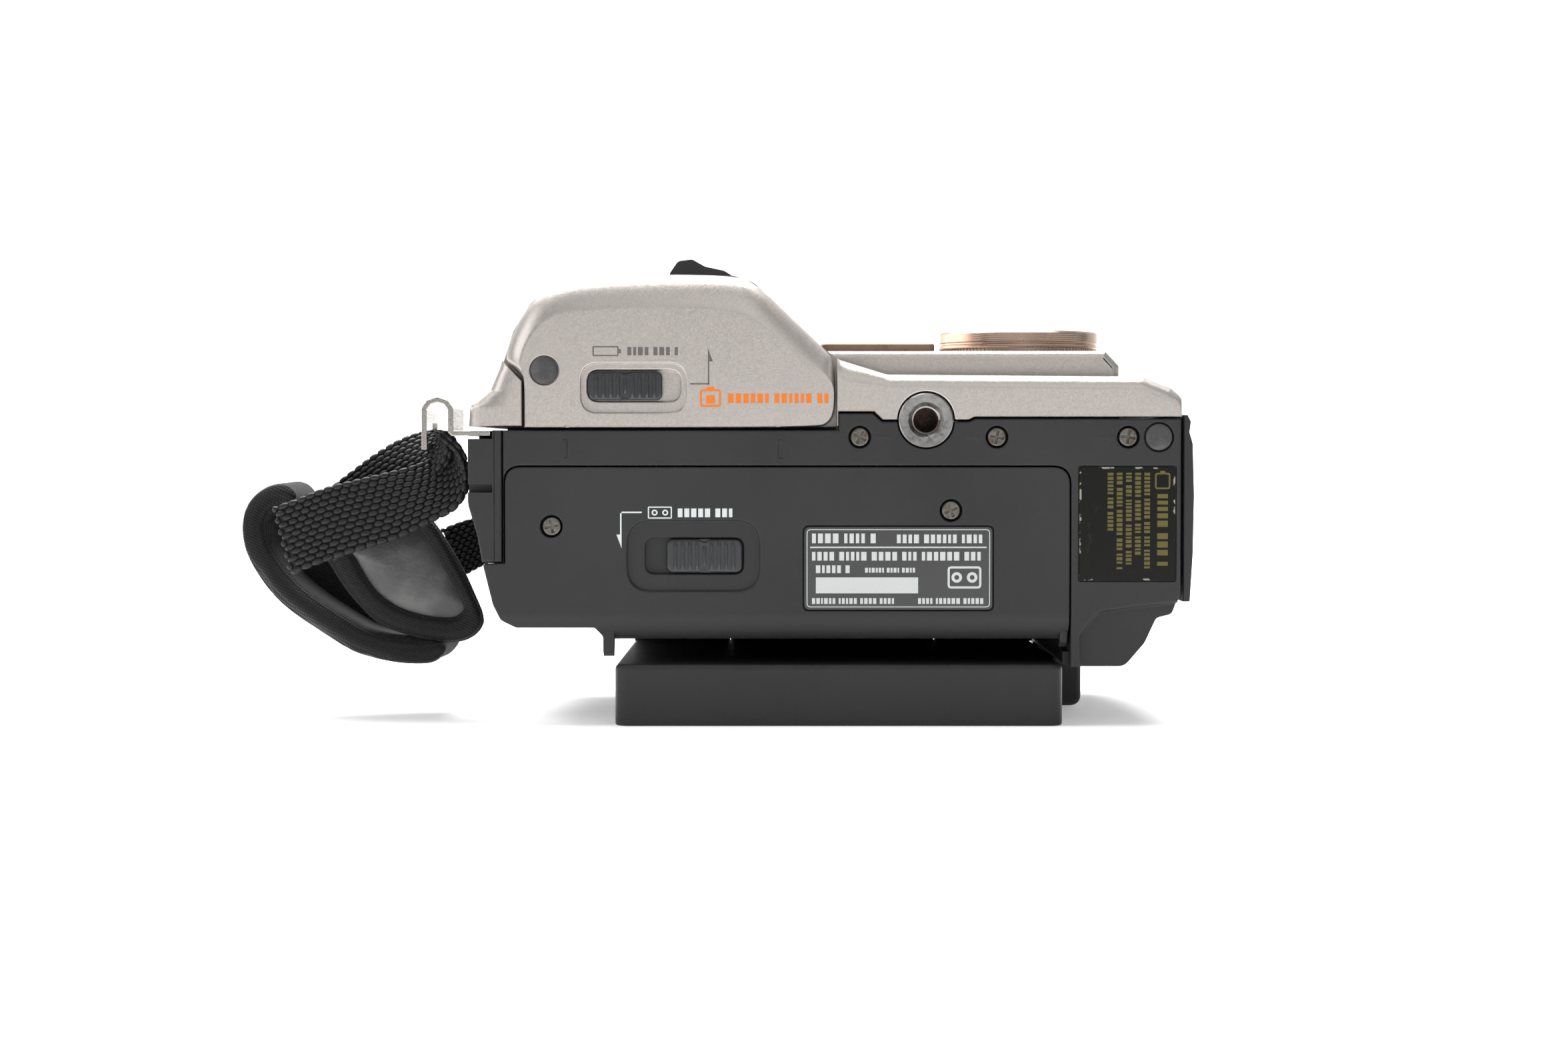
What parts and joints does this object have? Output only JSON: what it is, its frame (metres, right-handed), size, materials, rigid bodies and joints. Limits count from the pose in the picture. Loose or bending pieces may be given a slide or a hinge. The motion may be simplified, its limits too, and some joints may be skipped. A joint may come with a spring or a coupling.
{
  "type": "camcorder",
  "caption": "Compact tape camcorder lying on its tilting screen, with a side grip, hand strap, lens ring, cassette lid and battery lid.",
  "frame": {"origin": "centre of the screen window's outer face, on the surface that the camcorder lies on", "axes": "+Z the way the lens looks, +X towards the lens side, -Y out of the underside with the tripod socket"},
  "size_m": [0.2023, 0.0869, 0.1026],
  "materials": {
    "dark_plastic": "fine textured moulded plastic",
    "silver_plastic": "fine metallic lacquer, satin",
    "knob_plastic": "satin",
    "black_plastic": "matt",
    "rubber": "matt",
    "steel": "plated",
    "bright_steel": "polished",
    "champagne_metal": "anodised, turned",
    "lens_glass": "coated, polished",
    "screen_glass": "polished",
    "inlay_brown": "metallic, satin",
    "webbing": "coarse woven",
    "pad_fabric": "padded, knit bound",
    "circuit_board": "lacquered",
    "contact_metal": "plated",
    "label": "printed foil",
    "button_red": "satin",
    "diffuser": "matt",
    "plated_sheet": "zinc plated",
    "sensor": "matt"
  },
  "bodies": {
    "lcd_panel": {"lcd_case": "dark_plastic", "lcd_bezel": "dark_plastic", "lcd_window": "screen_glass", "lcd_display": "sensor", "lcd_backlight": "diffuser", "lcd_drive_board": "circuit_board", "lcd_hinge_pin": "steel"},
    "camera_body": {"lcd_hinge_bracket": "dark_plastic", "rear_side_block": "dark_plastic", "rear_shell": "dark_plastic", "top_cover": "dark_plastic", "front_shell": "silver_plastic", "grip_side_cover": "dark_plastic", "socket_1": "contact_metal", "socket_2": "black_plastic", "socket_3": "black_plastic", "side_label": "label", "tripod_socket": "steel", "frame_screw_1": "steel", "frame_screw_2": "steel", "frame_screw_3": "steel", "rubber_foot_right": "rubber", "battery_lid_pin": "steel", "battery_pack": "black_plastic", "battery_terminal": "contact_metal", "deck_plate": "plated_sheet", "drum_base": "steel", "loading_motor": "plated_sheet", "capstan_motor": "plated_sheet", "capstan_flywheel": "steel", "main_board": "circuit_board", "lens_barrel": "black_plastic", "lens_ring": "champagne_metal", "lens_front_glass": "lens_glass", "lens_rear_glass": "lens_glass", "image_sensor": "sensor", "front_inlay": "inlay_brown", "microphone_grille": "black_plastic", "strap_bail": "steel", "strap_webbing_front": "webbing", "strap_webbing_back": "webbing", "strap_webbing_tail": "webbing", "strap_pad": "pad_fabric"},
    "battery_lid": {"battery_lid": "silver_plastic", "rubber_foot_left": "rubber"},
    "battery_latch": {"battery_latch": "knob_plastic"},
    "cassette_lid": {"cassette_lid": "dark_plastic", "name_plate": "label", "lid_screw_1": "steel", "lid_screw_2": "steel"},
    "eject_latch": {"eject_latch": "knob_plastic"},
    "cassette_carriage": {"cassette_carriage": "plated_sheet"},
    "head_drum": {"head_drum": "bright_steel"},
    "zoom_lever": {"zoom_lever": "knob_plastic"},
    "start_button": {"start_button": "button_red"},
    "mode_dial": {"mode_dial": "knob_plastic"},
    "top_button_1": {"top_button_1": "knob_plastic"},
    "top_button_2": {"top_button_2": "knob_plastic"},
    "jack_cover": {"jack_cover": "dark_plastic"}
  },
  "joints": [
    {"name": "lcd_tilt", "type": "hinge", "parent": "lcd_panel", "child": "camera_body", "pos_m": [0, 0.0372, 0.0084], "axis": [-1, 0, 0], "range_deg": [0, 90]},
    {"name": "battery_lid_hinge", "type": "hinge", "parent": "camera_body", "child": "battery_lid", "pos_m": [0, -0.03685, 0.0922], "axis": [-1, 0, 0], "range_deg": [0, 95]},
    {"name": "battery_latch_slide", "type": "slide", "parent": "battery_lid", "child": "battery_latch", "axis": [1, 0, 0], "range_m": [0, 0.0033], "stiffness_N_per_m": 100},
    {"name": "cassette_lid_hinge", "type": "hinge", "parent": "camera_body", "child": "cassette_lid", "pos_m": [0, -0.0375, 0.0233], "axis": [1, 0, 0], "range_deg": [0, 80]},
    {"name": "eject_latch_slide", "type": "slide", "parent": "cassette_lid", "child": "eject_latch", "axis": [-1, 0, 0], "range_m": [0, 0.004], "stiffness_N_per_m": 100},
    {"name": "carriage_slide", "type": "slide", "parent": "camera_body", "child": "cassette_carriage", "axis": [0, -1, 0], "range_m": [0, 0.0121]},
    {"name": "drum_spin", "type": "hinge", "parent": "camera_body", "child": "head_drum", "pos_m": [-0.014, 0.022, 0.04], "axis": [0, 0, 1], "continuous": true},
    {"name": "zoom_turn", "type": "hinge", "parent": "camera_body", "child": "zoom_lever", "pos_m": [-0.032, 0.0415, 0.0795], "axis": [0, 1, 0], "range_deg": [-16, 16], "stiffness_Nm_per_rad": 0.02},
    {"name": "start_press", "type": "slide", "parent": "camera_body", "child": "start_button", "axis": [0, -1, 0], "range_m": [0, 0.0008], "stiffness_N_per_m": 400},
    {"name": "mode_turn", "type": "hinge", "parent": "camera_body", "child": "mode_dial", "pos_m": [-0.052, 0.041, 0.046], "axis": [0, 1, 0], "range_deg": [-50, 50]},
    {"name": "top_button_1_press", "type": "slide", "parent": "camera_body", "child": "top_button_1", "axis": [0, -1, 0], "range_m": [0, 0.0006], "stiffness_N_per_m": 300},
    {"name": "top_button_2_press", "type": "slide", "parent": "camera_body", "child": "top_button_2", "axis": [0, -1, 0], "range_m": [0, 0.0006], "stiffness_N_per_m": 300},
    {"name": "jack_cover_hinge", "type": "hinge", "parent": "camera_body", "child": "jack_cover", "pos_m": [0.0717, 0, 0.0261], "axis": [0, 1, 0], "range_deg": [0, 85]}
  ],
  "couplings": [
    {"joint": "carriage_slide", "follows": "cassette_lid_hinge", "m_per_rad": 0.0086}
  ]
}
